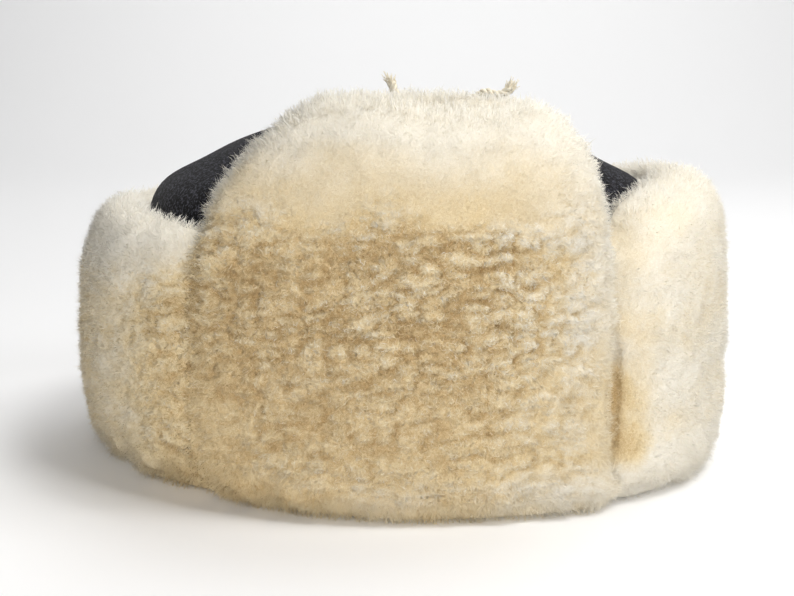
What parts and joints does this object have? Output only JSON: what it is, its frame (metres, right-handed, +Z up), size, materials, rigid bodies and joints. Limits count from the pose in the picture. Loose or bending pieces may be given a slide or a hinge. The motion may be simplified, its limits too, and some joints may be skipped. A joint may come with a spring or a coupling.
{
  "type": "sheepskin ear-flap hat",
  "caption": "Soft hat with a suede crown and thick cream sheepskin flaps turned up all round, tied over the crown with cotton cords.",
  "frame": {"origin": "on the surface that the hat stands on, under the middle of the hat", "axes": "+X to the wearer's front, the visor flap's side; +Y to the wearer's left; +Z up through the crown"},
  "size_m": [0.2903, 0.2542, 0.1635],
  "materials": {
    "suede": "charcoal suede with a short dense nap",
    "wool": "cream sheared sheepskin pile, tufted in rows, creamy yellow in its depth",
    "cotton": "natural twisted cotton cord with frayed ends"
  },
  "bodies": {
    "root": {"crown": "suede", "visor_flap": "wool", "nape_flap": "wool", "ear_flap_right": "wool", "ear_flap_left": "wool", "tie_cord_right": "cotton", "tie_cord_left": "cotton", "tie_end_rear": "cotton", "tie_end_front": "cotton", "tie_knot": "cotton"}
  },
  "joints": []
}
